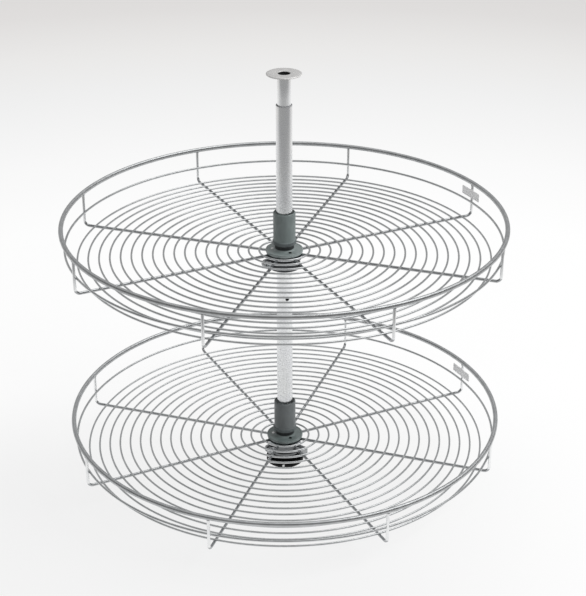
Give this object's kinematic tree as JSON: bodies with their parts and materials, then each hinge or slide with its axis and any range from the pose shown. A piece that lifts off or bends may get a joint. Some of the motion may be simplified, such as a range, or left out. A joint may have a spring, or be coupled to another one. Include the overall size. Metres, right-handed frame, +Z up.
{
  "type": "revolving corner cabinet carousel",
  "caption": "Round wire baskets, one over the other, each turning on a hub around a telescopic post between a cabinet's floor and its top.",
  "frame": {"origin": "middle of the foot's underside, on the cabinet floor", "axes": "+Z up the post, -Y towards the viewer of the picture, +X to the viewer's right"},
  "size_m": [0.7499, 0.75, 0.72],
  "materials": {
    "wire_chrome": "bright chrome on steel wire",
    "tube_chrome": "bright chrome on drawn steel tube",
    "flange_chrome": "satin chrome on a pressed disc",
    "collar_chrome": "chrome on die-cast zinc",
    "hub_steel": "zinc-plated steel plate",
    "bright_screw": "bright zinc-plated screws",
    "hub_grey": "blue-grey moulded plastic, fine grain",
    "guide_black": "black acetal",
    "foot_black": "black moulded plastic",
    "plate_grey": "bare light-grey plate"
  },
  "bodies": {
    "post": {"base_foot": "foot_black", "foot_set_screw": "bright_screw", "outer_tube": "tube_chrome", "guide_bush": "guide_black", "lower_clamp_collar": "collar_chrome", "lower_clamp_screw": "bright_screw", "lower_clamp_nut": "bright_screw", "lower_thrust_washer": "guide_black"},
    "post_extension": {"inner_tube": "tube_chrome", "inner_guide": "guide_black", "top_flange": "flange_chrome"},
    "upper_carriage": {"upper_clamp_collar": "collar_chrome", "upper_clamp_screw": "bright_screw", "upper_clamp_nut": "bright_screw", "upper_thrust_washer": "guide_black"},
    "lower_basket": {"lower_rim_ring": "wire_chrome", "lower_mid_ring": "wire_chrome", "lower_floor_rings": "wire_chrome", "lower_spokes": "wire_chrome", "lower_blank_plate": "plate_grey", "lower_hub_plate": "hub_steel", "lower_hub_flange": "hub_grey", "lower_hub_sleeve": "hub_grey", "lower_hub_screws": "bright_screw"},
    "upper_basket": {"upper_rim_ring": "wire_chrome", "upper_mid_ring": "wire_chrome", "upper_floor_rings": "wire_chrome", "upper_spokes": "wire_chrome", "upper_blank_plate": "plate_grey", "upper_hub_plate": "hub_steel", "upper_hub_flange": "hub_grey", "upper_hub_sleeve": "hub_grey", "upper_hub_screws": "bright_screw"}
  },
  "joints": [
    {"name": "extension_slide", "type": "slide", "parent": "post", "child": "post_extension", "axis": [0, 0, 1], "range_m": [-0.045, 0.08]},
    {"name": "upper_height_slide", "type": "slide", "parent": "post", "child": "upper_carriage", "axis": [0, 0, 1], "range_m": [-0.25, 0.17]},
    {"name": "lower_basket_spin", "type": "hinge", "parent": "post", "child": "lower_basket", "pos_m": [0, 0, 0.0465], "axis": [0, 0, 1], "continuous": true},
    {"name": "upper_basket_spin", "type": "hinge", "parent": "upper_carriage", "child": "upper_basket", "pos_m": [0, 0, 0.4065], "axis": [0, 0, 1], "continuous": true}
  ]
}
